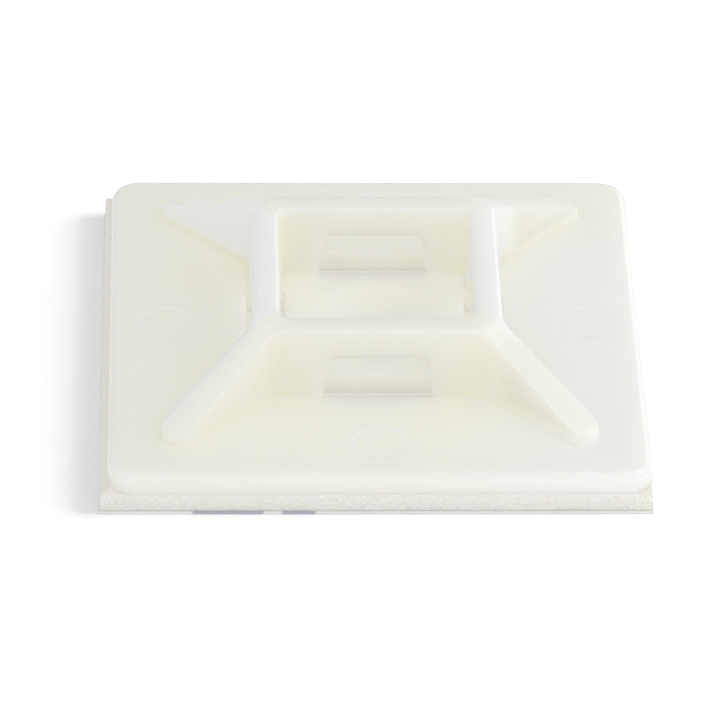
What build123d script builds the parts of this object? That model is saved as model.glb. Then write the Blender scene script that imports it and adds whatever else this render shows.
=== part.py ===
from build123d import *
import math
import os

# Adhesive-backed cable tie mount, in millimetres, +Z up.
# The origin is on the screw hole's axis, on the underside of the release liner.

# Base plate
plate_side = 28.0
plate_thickness = 1.2
plate_corner_radius = 1.5
plate_edge_round = 0.45

# Ring of four walls round the well
ring_height = 3.85
well_mouth = 10.2
well_corner_radius = 0.6
wall_top_width = 1.35
draft_angle = 3.0
foot_fillet = 0.12
top_edge_round = 0.25

# Diagonal ribs from the ring's corners to the plate's corners
rib_top_width = 1.4
rib_shoulder_inset = 0.7
rib_tip_inset = 3.0
rib_tip_height = 0.42
rib_blend_radius = 1.0

# Tie slots through the foot of each wall, and the windows through the plate under them
slot_floor_width = 5.72
slot_roof_width = 5.2
slot_height = 2.2
slot_corner_radius = 0.4
window_margin = 0.03

# Countersunk screw hole in the well's floor
screw_hole_radius = 1.8
screw_hole_land = 0.4
countersink_radius = 3.7

# Round ejector marks in the plate, one beyond each wall
ejector_mark_radius = 1.45
ejector_mark_depth = 0.05
ejector_mark_inset = 3.0

# Foam tape, cut a little longer than the plate and stuck on a little to the left
tape_thickness = 1.0
tape_overlength = 0.4
tape_shift = 0.2

# Paper liner on the tape's lower face
liner_thickness = 0.15
liner_overhang = 0.12

# Heights and half widths that follow from the sizes above
tape_bottom = liner_thickness
plate_bottom = tape_bottom + tape_thickness
plate_top = plate_bottom + plate_thickness
ring_top = plate_top + ring_height
draft_gain = ring_height * math.tan(math.radians(draft_angle))
ring_top_half = well_mouth / 2 + wall_top_width
ring_foot_half = ring_top_half + draft_gain
well_floor_half = well_mouth / 2 - draft_gain
window_inner = well_floor_half - foot_fillet - window_margin
window_outer = ring_foot_half + foot_fillet + window_margin
rib_foot_width = rib_top_width + 2 * draft_gain
rib_shoulder_reach = (ring_top_half - rib_shoulder_inset) * math.sqrt(2)
rib_tip_reach = (plate_side / 2 - rib_tip_inset) * math.sqrt(2)
tolerance = 0.001


def at_height(z):
    """A horizontal work plane at height z."""
    return Plane.XY.offset(z)


def faces_at(shape, z):
    """The flat faces of a shape that lie at height z, smallest first."""
    flat = shape.faces().filter_by(GeomType.PLANE)
    return flat.filter_by_position(Axis.Z, z - tolerance, z + tolerance).sort_by(SortBy.AREA)


def each_side(shape):
    """The shape made for the front side, repeated for the four sides."""
    return [Rot(0, 0, 90 * side) * shape for side in range(4)]


def base_plate():
    """Square plate with rounded corners and a rounded upper edge."""
    outline = at_height(plate_bottom) * RectangleRounded(plate_side, plate_side, plate_corner_radius)
    plate = extrude(outline, plate_thickness)
    return fillet(faces_at(plate, plate_top)[-1].edges(), plate_edge_round)


def ring_and_rib_plan():
    """Footprint of the ring and the four ribs, with a blend in each corner between them."""
    plan = Rectangle(2 * ring_foot_half, 2 * ring_foot_half)
    centres = 2 * rib_tip_reach - rib_foot_width
    for diagonal in (45, -45):
        plan += Rot(0, 0, diagonal) * SlotCenterToCenter(centres, rib_foot_width)
    corners = plan.vertices().filter_by(
        lambda v: abs(max(abs(v.X), abs(v.Y)) - ring_foot_half) < tolerance
    )
    return fillet(corners, rib_blend_radius)


def ring_and_ribs():
    """The plan drawn up to the ring's height, with its drafted walls."""
    foot = ring_and_rib_plan()
    top = offset(foot, -draft_gain)
    return loft([at_height(plate_top) * foot, at_height(ring_top) * top], ruled=True)


def under_the_roof():
    """The plate's layer, and above it all that lies under the ring's flat top and the ribs' slopes."""
    slope = (ring_height - rib_tip_height) / (rib_tip_reach - rib_shoulder_reach)
    low_reach = rib_tip_reach + rib_tip_height / slope
    low = at_height(plate_top) * Rot(0, 0, 45) * Rectangle(2 * low_reach, 2 * low_reach)
    high = at_height(ring_top) * Rot(0, 0, 45) * Rectangle(2 * rib_shoulder_reach, 2 * rib_shoulder_reach)
    layer = extrude(at_height(plate_bottom) * Rectangle(2 * plate_side, 2 * plate_side), plate_thickness)
    return loft([low, high], ruled=True) + layer


def roof_rims(body):
    """Edges round the ring's top and the ribs' slopes, without the creases between them."""
    roofs = body.faces().filter_by(
        lambda f: f.geom_type == GeomType.PLANE
        and f.normal_at().Z > 0.5
        and f.center().Z > plate_top + rib_tip_height
    )
    edges = [edge for face in roofs for edge in face.edges()]
    middles = [tuple(round(c, 3) for c in edge.center()) for edge in edges]
    return ShapeList(e for e, middle in zip(edges, middles) if middles.count(middle) == 1)


def well():
    """Drafted square pocket inside the ring, with rounded corners and a filleted floor."""
    mouth = at_height(ring_top) * RectangleRounded(well_mouth, well_mouth, well_corner_radius)
    pocket = extrude(mouth, -ring_height, taper=draft_angle)
    return fillet(faces_at(pocket, plate_top)[0].edges(), foot_fillet)


def slot_and_window():
    """Tie slot through the front wall's foot, and the window through the plate under it."""
    half_floor = slot_floor_width / 2
    half_roof = slot_roof_width / 2
    slot_roof = plate_top + slot_height
    section = Plane.XZ * Polygon(
        (-half_floor, plate_bottom),
        (half_floor, plate_bottom),
        (half_floor, plate_top),
        (half_roof, slot_roof),
        (-half_roof, slot_roof),
        (-half_floor, plate_top),
        align=None,
    )
    roof_corners = section.vertices().group_by(Axis.Z)[-1]
    section = fillet(roof_corners, slot_corner_radius)
    return Pos(0, -window_inner, 0) * extrude(section, window_outer - window_inner)


def screw_hole():
    """Cone and cylinder of the countersunk hole, turned round its axis."""
    land_top = plate_bottom + screw_hole_land
    profile = Plane.XZ * Polygon(
        (0, plate_bottom),
        (screw_hole_radius, plate_bottom),
        (screw_hole_radius, land_top),
        (countersink_radius, plate_top),
        (0, plate_top),
        align=None,
    )
    return revolve(profile, Axis.Z)


def ejector_mark():
    """Shallow round mark beyond the front wall."""
    centre = -(plate_side / 2 - ejector_mark_inset)
    disc = at_height(plate_top) * Pos(0, centre) * Circle(ejector_mark_radius)
    return extrude(disc, -ejector_mark_depth)


def mount_body():
    """The moulding: plate, ring and ribs, with the well, slots, windows, hole and marks cut in it."""
    body = base_plate() + ring_and_ribs()
    body = fillet(faces_at(body, plate_top)[-1].inner_wires()[0].edges(), foot_fillet)
    body = body & under_the_roof()
    body = fillet(roof_rims(body), top_edge_round)
    body -= well()
    body = fillet(faces_at(body, ring_top)[-1].inner_wires()[0].edges(), top_edge_round)
    body -= each_side(slot_and_window())
    body -= each_side(ejector_mark())
    return body - screw_hole()


def sheet(length, width, bottom, thickness):
    """A square-cornered sheet, shifted as the tape is."""
    return extrude(at_height(bottom) * Pos(-tape_shift, 0) * Rectangle(length, width), thickness)


def foam_tape():
    """Double-sided foam pad under the plate."""
    return sheet(plate_side + tape_overlength, plate_side, tape_bottom, tape_thickness)


def release_liner():
    """Paper liner under the pad, cut a little larger all round."""
    length = plate_side + tape_overlength + 2 * liner_overhang
    return sheet(length, plate_side + 2 * liner_overhang, 0, liner_thickness)


os.makedirs("parts", exist_ok=True)
export_step(mount_body(), "parts/mount_body.step")
export_step(foam_tape(), "parts/foam_tape.step")
export_step(release_liner(), "parts/release_liner.step")
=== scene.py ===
"""Cable tie mount: translucent nylon moulding on a foam tape with a paper liner, in a white studio."""

import math

import bpy
import numpy as np
from bpy.props import FloatProperty, FloatVectorProperty, IntProperty, PointerProperty
from mathutils import Matrix, Vector


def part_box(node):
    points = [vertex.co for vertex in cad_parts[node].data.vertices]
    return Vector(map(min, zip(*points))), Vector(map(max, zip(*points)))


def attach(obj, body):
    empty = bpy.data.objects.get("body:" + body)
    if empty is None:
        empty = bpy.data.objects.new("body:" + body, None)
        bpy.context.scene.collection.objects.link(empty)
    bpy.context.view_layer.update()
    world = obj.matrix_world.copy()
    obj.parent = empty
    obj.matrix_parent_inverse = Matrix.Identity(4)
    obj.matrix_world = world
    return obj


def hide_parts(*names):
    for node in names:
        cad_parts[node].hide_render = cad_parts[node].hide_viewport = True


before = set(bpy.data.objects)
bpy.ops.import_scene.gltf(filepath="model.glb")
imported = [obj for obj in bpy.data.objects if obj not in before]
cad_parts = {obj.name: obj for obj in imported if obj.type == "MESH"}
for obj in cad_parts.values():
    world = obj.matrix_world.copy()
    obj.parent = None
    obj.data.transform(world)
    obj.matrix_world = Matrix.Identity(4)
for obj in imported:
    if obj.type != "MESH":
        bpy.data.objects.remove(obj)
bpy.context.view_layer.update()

bl_info = {
    "name": "Cable tie mount",
    "version": (1, 0, 0),
    "blender": (4, 5, 0),
    "location": "View3D > Sidebar > Tie mount",
    "description": "Finishes an adhesive cable tie mount and lights it on a white table",
    "category": "Object",
}

MM = 0.001
FOAM_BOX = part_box("foam_tape")
LINER_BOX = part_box("release_liner")
BODY_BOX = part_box("mount_body")
SEED = 7

# Places in the moulding, in millimetres, counted from the table or from the screw hole's axis.
PLATE_THICKNESS = 1.2
PLATE_TOP = BODY_BOX[0].z / MM + PLATE_THICKNESS
MARK_REACH = 11.0
MARK_RADIUS = 1.45
# Middle of the patches of painted shade and tint beside the ribs' feet.
PATCH_REACH = 8.4
PATCH_ASIDE = 4.3
# Middle of the painted shade beside the screw hole.
HOLE_SHADE = (0.7, 3.0)

# Colour of the painted highlight on the raised rings round the ejector marks.
MARK_HIGHLIGHT_COLOUR = (1, 0.995, 0.92, 1)

# Each printed bar's left and right end on the liner's front edge, in millimetres.
BARS = ((-9.65, -6.0), (-5.05, -3.35))

# Direction that a reflection finds brighter, and how narrow that patch is.
GLINT_FROM = (0.45, 0.83, 0.33)
GLINT_POWER = 40.0


class TieMountNylon(bpy.types.PropertyGroup):
    """Look of the moulding."""

    colour: FloatVectorProperty(
        name="Colour", description="Natural nylon where it is pale",
        subtype="COLOR", size=3, min=0, max=1, default=(0.928, 0.918, 0.815),
    )
    # Painted shade with some tint of thicker nylon round the ring's foot and beside the ribs' feet, and
    # painted shade by the screw hole.
    shade_tint_colour: FloatVectorProperty(
        name="Warm colour", description="Nylon in the plate round the ring and beside the hole",
        subtype="COLOR", size=3, min=0, max=1, default=(0.905, 0.895, 0.775),
    )
    # Painted light: the left and right walls and the plate's right are made paler, as if lit more.
    painted_light_colour: FloatVectorProperty(
        name="Side colour", description="Nylon in the left and right walls and towards the plate's right",
        subtype="COLOR", size=3, min=0, max=1, default=(1.0, 1.0, 0.915),
    )
    # Painted shade: the right ribs and the front and back walls are made darker with this colour.
    painted_shade_colour: FloatVectorProperty(
        name="Rib colour", description="Nylon in the ribs that run out to the corners",
        subtype="COLOR", size=3, min=0, max=1, default=(0.84, 0.836, 0.765),
    )
    light_depth: FloatProperty(
        name="Light depth", description="How far light travels in the nylon",
        subtype="DISTANCE", unit="LENGTH", min=0, default=2.5 * MM,
    )
    light_passed: FloatProperty(
        name="Light passed", description="Share of the light that each skin lets through",
        subtype="FACTOR", min=0, max=1, default=0.8,
    )
    roughness: FloatProperty(
        name="Roughness", description="Roughness of the moulded skin where it lies flat or is rounded",
        subtype="FACTOR", min=0, max=1, default=0.22,
    )
    wall_roughness: FloatProperty(
        name="Wall roughness", description="Roughness of the moulded skin on upright faces",
        subtype="FACTOR", min=0, max=1, default=0.6,
    )


class TieMountFoam(bpy.types.PropertyGroup):
    """Sizes and look of the foam tape."""

    colour: FloatVectorProperty(
        name="Colour", description="Foam between its cells",
        subtype="COLOR", size=3, min=0, max=1, default=(0.91, 0.905, 0.855),
    )
    cell_colour: FloatVectorProperty(
        name="Cell colour", description="Shade inside the cut cells",
        subtype="COLOR", size=3, min=0, max=1, default=(0.7, 0.69, 0.64),
    )
    skin_colour: FloatVectorProperty(
        name="Skin colour", description="Adhesive on the pad's top, seen through the windows",
        subtype="COLOR", size=3, min=0, max=1, default=(0.92, 0.905, 0.83),
    )
    cell_size: FloatProperty(
        name="Cell size", description="Width of one cell of the foam",
        subtype="DISTANCE", unit="LENGTH", min=0, default=0.12 * MM,
    )
    cell_depth: FloatProperty(
        name="Cell depth", description="Depth of the cut cells in the pad's side",
        subtype="DISTANCE", unit="LENGTH", min=0, default=0.035 * MM,
    )
    lift_left: FloatProperty(
        name="Left lift", description="Height of the pad's lower edge over the liner at the left",
        subtype="DISTANCE", unit="LENGTH", min=0, default=0.04 * MM,
    )
    lift_right: FloatProperty(
        name="Right lift", description="Height of the pad's lower edge over the liner at the right",
        subtype="DISTANCE", unit="LENGTH", min=0, default=0.07 * MM,
    )
    columns: IntProperty(
        name="Columns", description="Steps round the pad", min=64, default=1800,
    )


class TieMountLiner(bpy.types.PropertyGroup):
    """Sizes and look of the release liner."""

    colour: FloatVectorProperty(
        name="Colour", description="Glazed release paper",
        subtype="COLOR", size=3, min=0, max=1, default=(0.95, 0.945, 0.9),
    )
    print_colour: FloatVectorProperty(
        name="Print colour", description="Plain bars printed along the front of the liner",
        subtype="COLOR", size=3, min=0, max=1, default=(0.42, 0.45, 0.53),
    )
    ripple: FloatProperty(
        name="Ripple", description="Waviness of the liner's cut edge",
        subtype="DISTANCE", unit="LENGTH", min=0, default=0.03 * MM,
    )
    drawn_in: FloatProperty(
        name="Drawn in", description="How far the liner's edge stops short of its full size",
        subtype="DISTANCE", unit="LENGTH", min=0, default=0.07 * MM,
    )


class TieMountStudio(bpy.types.PropertyGroup):
    """Light, table and camera."""

    side_power: FloatProperty(
        name="Side power", description="Power of the soft light close on the mount's right",
        subtype="POWER", unit="POWER", min=0, default=0.0155,
    )
    side_distance: FloatProperty(
        name="Side distance", description="Distance from the mount to the side light",
        subtype="DISTANCE", unit="LENGTH", min=0, default=0.1,
    )
    side_height: FloatProperty(
        name="Side height", description="Angle of the side light above the table",
        subtype="ANGLE", unit="ROTATION", default=math.radians(50),
    )
    side_size: FloatProperty(
        name="Side size", description="Side of the square side light",
        subtype="DISTANCE", unit="LENGTH", min=0, default=0.045,
    )
    table_power: FloatProperty(
        name="Table power", description="Power of the light that draws the shadow on the table",
        subtype="POWER", unit="POWER", min=0, default=0.45,
    )
    table_distance: FloatProperty(
        name="Table distance", description="Distance from the mount to the table's light",
        subtype="DISTANCE", unit="LENGTH", min=0, default=0.25,
    )
    table_height: FloatProperty(
        name="Table height", description="Angle of the table's light above the table",
        subtype="ANGLE", unit="ROTATION", default=math.radians(32.5),
    )
    table_size: FloatProperty(
        name="Table size", description="Side of the table's square light",
        subtype="DISTANCE", unit="LENGTH", min=0, default=0.128,
    )
    fill: FloatProperty(
        name="Fill", description="Strength of the white surroundings on all sides",
        min=0, default=0.38,
    )
    side_fill: FloatProperty(
        name="Side fill", description="Strength that the surroundings gain at the left and right",
        min=0, default=0.42,
    )
    front_fill: FloatProperty(
        name="Front fill", description="Strength that the surroundings gain in front",
        min=0, default=0.6,
    )
    top_fill: FloatProperty(
        name="Top fill", description="Strength that the surroundings gain above",
        min=0, default=0.38,
    )
    glint: FloatProperty(
        name="Glint", description="Brightness that only reflections find at the back right",
        min=0, default=1.6,
    )
    table_colour: FloatVectorProperty(
        name="Table colour", description="White table",
        subtype="COLOR", size=3, min=0, max=1, default=(0.8, 0.8, 0.8),
    )
    table_glow: FloatProperty(
        name="Table glow", description="What the camera sees added to the table's light",
        min=0, default=0.15,
    )


def settings(name):
    """The scene's property group of that name."""
    return getattr(bpy.context.scene, name)


def add_node(tree, kind, inputs=None, **options):
    """A node in a tree, with its options set and its inputs given as values or as sockets to link."""
    node = tree.nodes.new(kind)
    for key, value in options.items():
        setattr(node, key, value)
    for key, value in (inputs or {}).items():
        if isinstance(value, bpy.types.NodeSocket):
            tree.links.new(value, node.inputs[key])
        else:
            node.inputs[key].default_value = value
    return node


def rgba(colour):
    """A colour with an opaque alpha."""
    return (*colour, 1.0)


def new_material(name):
    """An empty material, its node tree and a linked Principled shader."""
    material = bpy.data.materials.new(name)
    material.use_nodes = True
    tree = material.node_tree
    tree.nodes.clear()
    shader = add_node(tree, "ShaderNodeBsdfPrincipled")
    output = add_node(tree, "ShaderNodeOutputMaterial")
    tree.links.new(shader.outputs["BSDF"], output.inputs["Surface"])
    return material, tree, shader


def millimetres(tree):
    """Object coordinates in millimetres."""
    place = add_node(tree, "ShaderNodeTexCoord")
    scaled = add_node(
        tree, "ShaderNodeMapping",
        {"Vector": place.outputs["Object"], "Scale": (1000, 1000, 1000)},
    )
    return scaled.outputs["Vector"]


def grain_group():
    """Shader group: a slow cloudy tone and a fine grain, from a position in millimetres."""
    group = bpy.data.node_groups.get("Fine grain")
    if group:
        return group
    group = bpy.data.node_groups.new("Fine grain", "ShaderNodeTree")
    face = group.interface
    face.new_socket("Vector", in_out="INPUT", socket_type="NodeSocketVector")
    for name, default in (("Cloud scale", 0.15), ("Grain scale", 6.0)):
        face.new_socket(name, in_out="INPUT", socket_type="NodeSocketFloat").default_value = default
    for name in ("Cloud", "Grain"):
        face.new_socket(name, in_out="OUTPUT", socket_type="NodeSocketFloat")
    start = add_node(group, "NodeGroupInput")
    end = add_node(group, "NodeGroupOutput")
    for name, detail in (("Cloud", 3.0), ("Grain", 4.0)):
        noise = add_node(
            group, "ShaderNodeTexNoise",
            {"Vector": start.outputs["Vector"], "Scale": start.outputs[name + " scale"],
             "Detail": detail, "Roughness": 0.55},
        )
        group.links.new(noise.outputs["Fac"], end.inputs[name])
    return group


def grain(tree, vector, cloud_scale, grain_scale):
    """The grain group placed in a tree."""
    node = add_node(tree, "ShaderNodeGroup", node_tree=grain_group())
    tree.links.new(vector, node.inputs["Vector"])
    node.inputs["Cloud scale"].default_value = cloud_scale
    node.inputs["Grain scale"].default_value = grain_scale
    return node


def calc(tree, operation, first, second=0.0, third=0.0):
    """A Math node's output."""
    node = add_node(tree, "ShaderNodeMath", {0: first, 1: second, 2: third}, operation=operation)
    return node.outputs[0]


def ramp(tree, value, low, high, to_low=0.0, to_high=1.0):
    """A value carried smoothly from one range to another, and held at the ends."""
    node = add_node(
        tree, "ShaderNodeMapRange",
        {"Value": value, "From Min": low, "From Max": high, "To Min": to_low, "To Max": to_high},
        interpolation_type="SMOOTHSTEP",
    )
    return node.outputs["Result"]


def mixed(tree, factor, first, second):
    """One colour carried to another by a factor."""
    node = add_node(tree, "ShaderNodeMix", data_type="RGBA")
    for socket, value in ((node.inputs[0], factor), (node.inputs[6], first), (node.inputs[7], second)):
        if isinstance(value, bpy.types.NodeSocket):
            tree.links.new(value, socket)
        else:
            socket.default_value = value
    return node.outputs[2]


def distance_from(tree, first, second, first_at, second_at):
    """Distance of a pair of coordinates from a point."""
    one = calc(tree, "SUBTRACT", first, first_at)
    two = calc(tree, "SUBTRACT", second, second_at)
    return calc(tree, "SQRT", calc(tree, "MULTIPLY_ADD", one, one, calc(tree, "MULTIPLY", two, two)))


def mark_rim_highlights(tree, outer, inner, height):
    """Mask of the raised ring and its painted highlight round the four ejector marks: how far a point lies
    off the nearest circle.
    """
    reach = distance_from(tree, outer, inner, MARK_REACH, 0.0)
    off = calc(tree, "ABSOLUTE", calc(tree, "SUBTRACT", reach, MARK_RADIUS))
    on_plate = ramp(tree, height, PLATE_TOP + 0.05, PLATE_TOP + 0.1, 1.0, 0.0)
    return calc(tree, "MULTIPLY", ramp(tree, off, 0.04, 0.18, 1.0, 0.0), on_plate)


def nylon_tone(tree, parts, cloud, outer, inner):
    """Nylon's colour by place, with painted light and shade: pale, with yellowish patches of painted shade
    and tint round the ring's foot and beside each rib's foot, and painted shade by the screw hole.

    The left and right walls and the plate's right are paler with painted light, and the right ribs and the
    front and back walls a little darker with painted shade. A place is given by its distances from the
    middle lines, of which outer is the larger.
    """
    look = settings("tie_mount_nylon")
    x, y, z = (parts.outputs[axis] for axis in "XYZ")
    across, along = (calc(tree, "ABSOLUTE", place) for place in (x, y))
    over_plate = ramp(tree, z, PLATE_TOP + 0.1, PLATE_TOP + 0.8)
    plate = calc(tree, "SUBTRACT", 1.0, over_plate)
    # Painted shade with some tint round the ring's foot and in the pockets beside each rib's foot, its
    # strength varied by the cloud.
    near_ring = ramp(tree, outer, 6.0, 11.0, 0.25, 0.0)
    patch = ramp(tree, distance_from(tree, outer, inner, PATCH_REACH, PATCH_ASIDE), 0.4, 3.4, 1.0, 0.0)
    shade_and_tint = calc(tree, "MULTIPLY_ADD", cloud, 0.6, 0.55)
    shade_and_tint = calc(tree, "MULTIPLY", shade_and_tint, calc(tree, "MAXIMUM", patch, near_ring))
    tone = mixed(tree, calc(tree, "MULTIPLY", shade_and_tint, plate), rgba(look.colour), rgba(look.shade_tint_colour))
    # Painted light: paler colour on the left and right walls and towards the plate's right, where more light
    # falls.
    lit_side_walls = ramp(tree, calc(tree, "SUBTRACT", across, along), 0.2, 1.2)
    lit_side_walls = calc(tree, "MULTIPLY", lit_side_walls, over_plate)
    lit_right = ramp(tree, x, 2.0, 13.0, 0.0, 0.8)
    lit_right = calc(tree, "MULTIPLY", lit_right, ramp(tree, y, 4.0, 12.0, 1.0, 0.0))
    tone = mixed(tree, calc(tree, "MAXIMUM", lit_side_walls, lit_right), tone, rgba(look.painted_light_colour))
    # Painted shade: darker colour on the right ribs and on the front and back walls.
    right_rib_shade = calc(tree, "MULTIPLY", ramp(tree, inner, 5.6, 7.0), ramp(tree, x, -7.0, 5.0))
    end_wall_shade = ramp(tree, calc(tree, "SUBTRACT", along, across), 0.2, 1.2, 0.0, 0.35)
    darker = calc(tree, "MULTIPLY", calc(tree, "MAXIMUM", right_rib_shade, end_wall_shade), over_plate)
    tone = mixed(tree, darker, tone, rgba(look.painted_shade_colour))
    # Painted shade on the plate beside the screw hole.
    hole_shade_mask = ramp(tree, distance_from(tree, x, y, *HOLE_SHADE), 0.8, 3.0, 1.0, 0.0)
    return mixed(tree, calc(tree, "MULTIPLY", hole_shade_mask, plate), tone, rgba(look.shade_tint_colour))


def nylon_roughness(tree, texture):
    """Nylon's roughness: satin where a face lies flat, duller where it stands upright, with some grain."""
    look = settings("tie_mount_nylon")
    normal = add_node(tree, "ShaderNodeNewGeometry").outputs["Normal"]
    lean = add_node(tree, "ShaderNodeVectorMath", {0: normal, 1: (0, 0, 1)}, operation="DOT_PRODUCT")
    upright = ramp(tree, calc(tree, "ABSOLUTE", lean.outputs["Value"]), 0.05, 0.45, 1.0, 0.0)
    rough = calc(tree, "MULTIPLY_ADD", texture.outputs["Grain"], 0.12, look.roughness - 0.06)
    return calc(tree, "MULTIPLY_ADD", upright, look.wall_roughness - look.roughness, rough)


def nylon_material():
    """Translucent natural nylon: cloudy pale skin with a fine moulded grain, painted light and shade by
    place, and raised rings on the marks with painted highlights.

    Light on its way to what lies behind passes each skin in part, so the moulding's insides are lit.
    """
    look = settings("tie_mount_nylon")
    material, tree, shader = new_material("natural nylon")
    vector = millimetres(tree)
    parts = add_node(tree, "ShaderNodeSeparateXYZ", {"Vector": vector})
    texture = grain(tree, vector, 0.16, 5.0)
    cloud = ramp(tree, texture.outputs["Cloud"], 0.35, 0.65)
    across, along = (calc(tree, "ABSOLUTE", parts.outputs[axis]) for axis in "XY")
    outer, inner = (calc(tree, pick, across, along) for pick in ("MAXIMUM", "MINIMUM"))
    tone = nylon_tone(tree, parts, cloud, outer, inner)
    rim_highlight = mark_rim_highlights(tree, outer, inner, parts.outputs["Z"])
    # Painted highlight along each ejector mark's raised edge.
    tone = mixed(tree, calc(tree, "MULTIPLY", rim_highlight, 0.75), tone, MARK_HIGHLIGHT_COLOUR)
    tree.links.new(tone, shader.inputs["Base Color"])
    tree.links.new(nylon_roughness(tree, texture), shader.inputs["Roughness"])
    height = calc(tree, "MULTIPLY_ADD", rim_highlight, 4.5, texture.outputs["Grain"])
    bump = add_node(tree, "ShaderNodeBump", {"Strength": 0.25, "Distance": 0.004 * MM, "Height": height})
    tree.links.new(bump.outputs["Normal"], shader.inputs["Normal"])
    shader.inputs["Subsurface Weight"].default_value = 1.0
    shader.inputs["Subsurface Radius"].default_value = (1.0, 0.95, 0.8)
    shader.inputs["Subsurface Scale"].default_value = look.light_depth
    shader.inputs["IOR"].default_value = 1.53
    path = add_node(tree, "ShaderNodeLightPath").outputs
    lighting = calc(tree, "MAXIMUM", path["Is Shadow Ray"], path["Is Diffuse Ray"])
    opacity = calc(tree, "MULTIPLY_ADD", lighting, -look.light_passed, 1.0)
    tree.links.new(opacity, shader.inputs["Alpha"])
    return material


def foam_material():
    """Closed-cell foam: pale walls with painted shade in the cells and painted shade towards the bottom, and
    a smooth skin on top.
    """
    look = settings("tie_mount_foam")
    material, tree, shader = new_material("white foam")
    vector = millimetres(tree)
    texture = grain(tree, vector, 0.5, 9.0)
    flat = add_node(tree, "ShaderNodeMapping", {"Vector": vector, "Scale": (0.7, 0.7, 1.8)})
    cells = add_node(
        tree, "ShaderNodeTexVoronoi",
        {"Vector": flat.outputs["Vector"], "Scale": MM / look.cell_size, "Randomness": 1.0},
    )
    pit = ramp(tree, cells.outputs["Distance"], 0.15, 0.6, 1.0, 0.0)
    shade = calc(tree, "MULTIPLY", pit, calc(tree, "MULTIPLY_ADD", texture.outputs["Cloud"], 0.8, 0.1))
    parts = add_node(tree, "ShaderNodeSeparateXYZ", {"Vector": vector})
    high, low = FOAM_BOX[1].z / MM, FOAM_BOX[0].z / MM
    skin = ramp(tree, parts.outputs["Z"], high - 0.03, high - 0.015)
    side = calc(tree, "SUBTRACT", 1.0, skin)
    # Painted shade towards the pad's bottom, where it meets the liner.
    lower = ramp(tree, parts.outputs["Z"], low, low + 0.8, 0.25, 0.0)
    shade = calc(tree, "MULTIPLY", calc(tree, "ADD", shade, lower), side)
    cut = mixed(tree, shade, rgba(look.colour), rgba(look.cell_colour))
    tree.links.new(mixed(tree, skin, cut, rgba(look.skin_colour)), shader.inputs["Base Color"])
    height = calc(tree, "MULTIPLY", side, calc(tree, "SUBTRACT", texture.outputs["Grain"], pit))
    bump = add_node(tree, "ShaderNodeBump", {"Strength": 0.6, "Distance": 0.02 * MM, "Height": height})
    tree.links.new(bump.outputs["Normal"], shader.inputs["Normal"])
    shader.inputs["Roughness"].default_value = 0.85
    shader.inputs["Subsurface Weight"].default_value = 0.6
    shader.inputs["Subsurface Radius"].default_value = (1.0, 0.95, 0.85)
    shader.inputs["Subsurface Scale"].default_value = 0.25 * MM
    shader.inputs["Specular IOR Level"].default_value = 0.25
    return material


def liner_material():
    """Glazed release paper with two plain printed bars along its front edge."""
    look = settings("tie_mount_liner")
    material, tree, shader = new_material("release paper")
    vector = millimetres(tree)
    parts = add_node(tree, "ShaderNodeSeparateXYZ", {"Vector": vector})
    texture = grain(tree, vector, 0.4, 3.0)
    across = parts.outputs["X"]
    bars = 0.0
    for left, right in BARS:
        begun = ramp(tree, across, left - 0.1, left + 0.1)
        going = ramp(tree, across, right - 0.1, right + 0.1, 1.0, 0.0)
        bar = calc(tree, "MULTIPLY", begun, going)
        bars = bar if bars == 0.0 else calc(tree, "ADD", bars, bar)
    front = ramp(tree, parts.outputs["Y"], -10.1, -9.9, 1.0, 0.0)
    printed = calc(tree, "MULTIPLY", calc(tree, "MULTIPLY", bars, front), 0.85)
    fibre = mixed(
        tree, ramp(tree, texture.outputs["Cloud"], 0.35, 0.65),
        rgba(look.colour), rgba([0.94 * c for c in look.colour]),
    )
    tree.links.new(mixed(tree, printed, fibre, rgba(look.print_colour)), shader.inputs["Base Color"])
    bump = add_node(
        tree, "ShaderNodeBump",
        {"Strength": 0.3, "Distance": 0.01 * MM, "Height": texture.outputs["Grain"]},
    )
    tree.links.new(bump.outputs["Normal"], shader.inputs["Normal"])
    shader.inputs["Roughness"].default_value = 0.45
    shader.inputs["Subsurface Weight"].default_value = 0.3
    shader.inputs["Subsurface Radius"].default_value = (1.0, 0.9, 0.7)
    shader.inputs["Subsurface Scale"].default_value = 0.2 * MM
    return material


def outline_path(low, high, radius, count):
    """Closed rectangle with rounded corners, as evenly spaced points and their outward directions.

    Each side is a straight run and each corner a quarter circle, and a direction turns only along the arcs.
    """
    turns = 24
    quarter = np.linspace(0, math.pi / 2, turns)
    corners = [(high[0], high[1], 0), (low[0], high[1], 1), (low[0], low[1], 2), (high[0], low[1], 3)]
    points, angles = [], []
    for x, y, k in corners:
        a = quarter + k * math.pi / 2
        inner = np.array([x - radius * (1 if x > 0 else -1), y - radius * (1 if y > 0 else -1)])
        points.append(inner + radius * np.stack([np.cos(a), np.sin(a)], 1))
        angles.append(a)
    points, angles = np.concatenate(points), np.concatenate(angles)
    points, angles = np.vstack([points, points[:1]]), np.append(angles, 2 * math.pi)
    length = np.insert(np.cumsum(np.linalg.norm(np.diff(points, axis=0), axis=1)), 0, 0.0)
    at = np.linspace(0, length[-1], count, endpoint=False)
    place = np.stack([np.interp(at, length, points[:, i]) for i in range(2)], 1)
    turn = np.interp(at, length, angles)
    return place, np.stack([np.cos(turn), np.sin(turn)], 1)


def soft_noise(points, size, seed):
    """Smooth noise from -1 to 1 at each point: random values on a lattice, blended between its corners."""
    values = np.random.default_rng(seed).uniform(-1, 1, (16, 16, 16))
    cell = points / size
    base = np.floor(cell).astype(int)
    part = cell - base
    part = part * part * (3 - 2 * part)
    total = np.zeros(points.shape[:-1])
    for corner in np.ndindex(2, 2, 2):
        index = (base + corner) % 16
        weight = np.prod(np.where(corner, part, 1 - part), axis=-1)
        total += weight * values[index[..., 0], index[..., 1], index[..., 2]]
    return total


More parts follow.
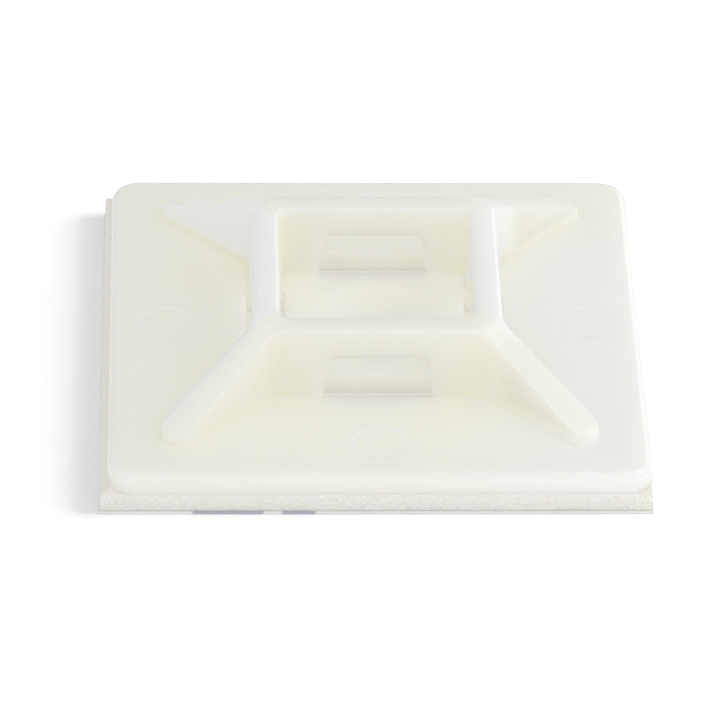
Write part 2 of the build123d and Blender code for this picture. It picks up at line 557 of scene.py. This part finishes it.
def grid_object(name, points, material):
    """A closed skin from rows of points: each row is a ring, and the end rows close to their middles."""
    rows, columns = points.shape[:2]
    verts = np.concatenate([points.reshape(-1, 3), points[:1].mean(1), points[-1:].mean(1)])
    r, c = np.meshgrid(np.arange(rows - 1), np.arange(columns), indexing="ij")
    following = (c + 1) % columns
    here, below = r * columns, (r + 1) * columns
    quads = np.stack([here + c, below + c, below + following, here + following], -1).reshape(-1, 4)
    ring = np.arange(columns)
    after = (ring + 1) % columns
    top = np.stack([np.full(columns, rows * columns), ring, after], 1)
    last = (rows - 1) * columns
    bottom = np.stack([np.full(columns, rows * columns + 1), last + after, last + ring], 1)
    mesh = bpy.data.meshes.new(name)
    mesh.from_pydata(verts.tolist(), [], quads.tolist() + top.tolist() + bottom.tolist())
    mesh.polygons.foreach_set("use_smooth", np.ones(len(mesh.polygons), bool))
    mesh.validate()
    mesh.materials.append(material)
    piece = bpy.data.objects.new(name, mesh)
    bpy.context.scene.collection.objects.link(piece)
    return piece


def lift_under_foam(x, y):
    """How far the pad's front lower edge stands off the liner.

    It rises as one bell curve at the left corner and one near the right, and stays up a little beyond that.
    """
    look = settings("tie_mount_foam")
    front = np.clip(1 - (y - FOAM_BOX[0].y) / (1.2 * MM), 0, 1) ** 1.5
    left = np.exp(-(((x - FOAM_BOX[0].x) / (0.9 * MM)) ** 2))
    right = np.exp(-(((x - 8.9 * MM) / (2.2 * MM)) ** 2))
    right = right + 0.4 / (1 + np.exp((9.5 * MM - x) / (0.5 * MM)))
    return front * (look.lift_left * left + look.lift_right * right)


def foam_piece():
    """Foam pad: a rounded rectangle carried down its side, with cut cells sunk into the side.

    A row's points are the outline drawn in to a share of its size, at the row's height. The side's rows
    are pushed in by noise of two sizes, and the lower rows rise where the pad stands off the liner.
    """
    look = settings("tie_mount_foam")
    low, high = FOAM_BOX
    place, outward = outline_path(low, high, 0.18 * MM, look.columns)
    top, bottom = high.z - 0.003 * MM, low.z + 0.003 * MM
    side = np.linspace(0, 1, 22)
    inset = 0.03 * MM
    share = np.concatenate([[0.3, 0.8, 0.93], np.ones(len(side)), [0.93, 0.8, 0.3]])
    drop = np.concatenate([[0, 0, 0], side, [1, 1, 1]])
    middle = np.array([(low.x + high.x) / 2, (low.y + high.y) / 2])
    flat = middle + share[:, None, None] * (place - middle)[None]
    lift = lift_under_foam(flat[..., 0], flat[..., 1]) * drop[:, None] ** 3
    height = top - drop[:, None] * (top - bottom) + lift
    solid = np.concatenate([flat, height[..., None]], -1)
    on_side = (share == 1.0)[:, None] * np.ones(len(place))[None]
    cells = 0.5 + 0.5 * soft_noise(solid, look.cell_size, SEED)
    lumps = 0.5 + 0.5 * soft_noise(solid * (1, 1, 2), 0.7 * MM, SEED + 1)
    edge = np.maximum(1 - 2 * drop - 0.86, 0)[:, None] / 0.14
    push = on_side * (look.cell_depth * cells + 0.03 * MM * lumps + inset * edge**2)
    solid[..., :2] -= push[..., None] * outward[None]
    return grid_object("foam_pad", solid, foam_material())


def liner_piece():
    """Liner: a thin sheet whose cut edge wanders a little and lies just clear of the pad."""
    look = settings("tie_mount_liner")
    low, high = LINER_BOX
    place, outward = outline_path(low, high, 0.12 * MM, 1200)
    top, bottom = high.z - 0.004 * MM, low.z
    share = np.array([0.3, 0.9, 1, 1, 1, 1, 0.9, 0.3])
    drop = np.array([0, 0, 0, 0.33, 0.66, 1, 1, 1.0])
    middle = np.array([(low.x + high.x) / 2, (low.y + high.y) / 2])
    flat = middle + share[:, None, None] * (place - middle)[None]
    height = top - drop[:, None] * (top - bottom) + 0 * flat[..., 0]
    solid = np.concatenate([flat, height[..., None]], -1)
    wander = 0.5 + 0.5 * soft_noise(solid * (1, 1, 0), 2.2 * MM, SEED + 2)
    round_edge = 0.02 * MM * (np.abs(2 * drop - 1) ** 4)[:, None]
    push = (share == 1)[:, None] * (look.ripple * wander + round_edge) + look.drawn_in
    solid[..., :2] -= push[..., None] * outward[None]
    return grid_object("liner_sheet", solid, liner_material())


def aimed(direction, roll=0.0):
    """Rotation whose -Z axis lies along a direction and whose X axis is level, then rolled."""
    forward = Vector(direction).normalized()
    right = forward.cross(Vector((0, 0, 1))).normalized()
    up = right.cross(forward)
    across = math.cos(roll) * right + math.sin(roll) * up
    upright = -math.sin(roll) * right + math.cos(roll) * up
    return Matrix((across, upright, -forward)).transposed()


def look_from(azimuth, elevation):
    """Direction of a line of sight that comes from that azimuth and elevation."""
    level = math.cos(elevation)
    return Vector((math.sin(azimuth) * level, math.cos(azimuth) * level, -math.sin(elevation)))


def make_camera():
    """Camera of the photograph: a long lens, looking down at the plate's middle."""
    data = bpy.data.cameras.new("camera")
    data.sensor_width = 36
    data.lens = 313.3
    data.shift_x = -14.77 / 720
    data.shift_y = -37.24 / 720
    data.clip_start, data.clip_end = 0.01, 10
    camera = bpy.data.objects.new("camera", data)
    direction = look_from(math.radians(2.05), math.radians(34.02))
    middle = Vector((0, 0, 2.35 * MM))
    turn = aimed(direction, math.radians(1.15))
    camera.matrix_world = Matrix.Translation(middle - 0.3312 * direction) @ turn.to_4x4()
    bpy.context.scene.collection.objects.link(camera)
    bpy.context.scene.camera = camera


def table_material():
    """White table: keeps the mount's shadow, and fades to plain white further out."""
    look = settings("tie_mount_studio")
    material = bpy.data.materials.new("white table")
    material.use_nodes = True
    tree = material.node_tree
    tree.nodes.clear()
    place = add_node(tree, "ShaderNodeTexCoord")
    out = add_node(tree, "ShaderNodeVectorMath", {0: place.outputs["Object"]}, operation="LENGTH")
    far = ramp(tree, out.outputs["Value"], 0.03, 0.09)
    camera_ray = add_node(tree, "ShaderNodeLightPath").outputs["Is Camera Ray"]
    paper = add_node(tree, "ShaderNodeBsdfDiffuse", {"Color": rgba(look.table_colour)})
    glow = add_node(
        tree, "ShaderNodeEmission",
        {"Color": (1, 1, 1, 1), "Strength": calc(tree, "MULTIPLY", camera_ray, look.table_glow)},
    )
    near = add_node(tree, "ShaderNodeAddShader", {0: paper.outputs[0], 1: glow.outputs[0]})
    plain = add_node(tree, "ShaderNodeEmission", {"Color": (1, 1, 1, 1), "Strength": 1.0})
    whole = add_node(
        tree, "ShaderNodeMixShader",
        {0: calc(tree, "MULTIPLY", far, camera_ray), 1: near.outputs[0], 2: plain.outputs[0]},
    )
    output = add_node(tree, "ShaderNodeOutputMaterial")
    tree.links.new(whole.outputs[0], output.inputs["Surface"])
    return material


def make_table():
    """Large flat table just under the liner."""
    half = 1.5
    mesh = bpy.data.meshes.new("table")
    mesh.from_pydata(
        [(-half, -half, 0), (half, -half, 0), (half, half, 0), (-half, half, 0)], [], [(0, 1, 2, 3)]
    )
    mesh.transform(Matrix.Translation((0, 0, -0.005 * MM)))
    mesh.materials.append(table_material())
    table = bpy.data.objects.new("table", mesh)
    bpy.context.scene.collection.objects.link(table)
    return table


def make_world():
    """White surroundings, stronger in front, above and at the sides; the camera sees plain white.

    Each gain is the square of how far a direction leans that way, and nothing where it leans away. Only
    reflections find the glint.
    """
    look = settings("tie_mount_studio")
    world = bpy.data.worlds.new("surroundings")
    world.use_nodes = True
    tree = world.node_tree
    tree.nodes.clear()
    towards = add_node(tree, "ShaderNodeTexCoord").outputs["Generated"]
    strength = look.fill
    for direction, gain in (
        ((0, -1, 0), look.front_fill), ((0, 0, 1), look.top_fill),
        ((1, 0, 0), look.side_fill), ((-1, 0, 0), look.side_fill),
    ):
        lean = add_node(tree, "ShaderNodeVectorMath", {0: towards, 1: direction}, operation="DOT_PRODUCT")
        lean = calc(tree, "MAXIMUM", lean.outputs["Value"])
        strength = calc(tree, "MULTIPLY_ADD", calc(tree, "MULTIPLY", lean, lean), gain, strength)
    path = add_node(tree, "ShaderNodeLightPath").outputs
    seen = path["Is Camera Ray"]
    glint = add_node(tree, "ShaderNodeVectorMath", {0: towards, 1: GLINT_FROM}, operation="DOT_PRODUCT")
    glint = calc(tree, "POWER", calc(tree, "MAXIMUM", glint.outputs["Value"]), GLINT_POWER)
    glint = calc(tree, "MULTIPLY", glint, path["Is Glossy Ray"])
    strength = calc(tree, "MULTIPLY_ADD", glint, look.glint, strength)
    light = add_node(tree, "ShaderNodeBackground", {"Color": (1, 1, 1, 1), "Strength": strength})
    white = add_node(tree, "ShaderNodeBackground", {"Color": (1, 1, 1, 1), "Strength": 1.0})
    whole = add_node(tree, "ShaderNodeMixShader", {0: seen, 1: light.outputs[0], 2: white.outputs[0]})
    output = add_node(tree, "ShaderNodeOutputWorld")
    tree.links.new(whole.outputs[0], output.inputs["Surface"])
    bpy.context.scene.world = world


def make_light(name, power, distance, height, size):
    """Soft square light, straight to the right of the mount."""
    data = bpy.data.lights.new(name, "AREA")
    data.shape = "SQUARE"
    data.size = size
    data.energy = power
    lamp = bpy.data.objects.new(name, data)
    towards = Vector((math.cos(height), 0, math.sin(height)))
    lamp.matrix_world = Matrix.Translation(distance * towards) @ aimed(-towards).to_4x4()
    bpy.context.scene.collection.objects.link(lamp)
    return lamp


def make_lights(table):
    """One light for the mount, and one that only the table receives, which draws the shadow."""
    look = settings("tie_mount_studio")
    make_light("side light", look.side_power, look.side_distance, look.side_height, look.side_size)
    lamp = make_light(
        "table light", look.table_power, look.table_distance, look.table_height, look.table_size
    )
    receivers = bpy.data.collections.new("lit by the table light")
    receivers.objects.link(table)
    lamp.light_linking.receiver_collection = receivers


class TIEMOUNT_OT_moulding(bpy.types.Operator):
    """Give the moulded body its nylon"""

    bl_idname = "tie_mount.moulding"
    bl_label = "Finish the moulding"

    def execute(self, context):
        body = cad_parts["mount_body"]
        body.material_slots[0].material = nylon_material()
        return {"FINISHED"}


class TIEMOUNT_OT_tape(bpy.types.Operator):
    """Build the foam pad and the liner under it"""

    bl_idname = "tie_mount.tape"
    bl_label = "Build the foam tape and liner"

    def execute(self, context):
        foam = foam_piece()
        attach(foam, "root")
        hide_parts("foam_tape")
        liner = liner_piece()
        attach(liner, "root")
        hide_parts("release_liner")
        return {"FINISHED"}


class TIEMOUNT_OT_studio(bpy.types.Operator):
    """Set up the table, the light and the camera"""

    bl_idname = "tie_mount.studio"
    bl_label = "Set up the studio"

    def execute(self, context):
        make_world()
        make_lights(make_table())
        make_camera()
        context.scene.view_settings.view_transform = "Standard"
        return {"FINISHED"}


class TIEMOUNT_PT_panel(bpy.types.Panel):
    """Lists the mount's steps and settings"""

    bl_idname = "TIEMOUNT_PT_panel"
    bl_label = "Cable tie mount"
    bl_space_type = "VIEW_3D"
    bl_region_type = "UI"
    bl_category = "Tie mount"

    def draw(self, context):
        for operator, group in STEPS:
            box = self.layout.box()
            box.operator(operator)
            for name in group:
                look = getattr(context.scene, name)
                for key in look.bl_rna.properties.keys():
                    if key not in ("rna_type", "name"):
                        box.prop(look, key)


STEPS = (
    ("tie_mount.moulding", ("tie_mount_nylon",)),
    ("tie_mount.tape", ("tie_mount_foam", "tie_mount_liner")),
    ("tie_mount.studio", ("tie_mount_studio",)),
)
GROUPS = {
    "tie_mount_nylon": TieMountNylon,
    "tie_mount_foam": TieMountFoam,
    "tie_mount_liner": TieMountLiner,
    "tie_mount_studio": TieMountStudio,
}
CLASSES = (
    *GROUPS.values(), TIEMOUNT_OT_moulding, TIEMOUNT_OT_tape, TIEMOUNT_OT_studio, TIEMOUNT_PT_panel,
)


def register():
    """Adds the classes and the scene's settings."""
    for item in CLASSES:
        bpy.utils.register_class(item)
    for name, group in GROUPS.items():
        setattr(bpy.types.Scene, name, PointerProperty(type=group))


def unregister():
    """Takes the settings and the classes away again."""
    for name in GROUPS:
        delattr(bpy.types.Scene, name)
    for item in reversed(CLASSES):
        bpy.utils.unregister_class(item)


def main():
    """Builds the whole scene."""
    register()
    bpy.ops.tie_mount.moulding()
    bpy.ops.tie_mount.tape()
    bpy.ops.tie_mount.studio()


if __name__ == "__main__":
    main()
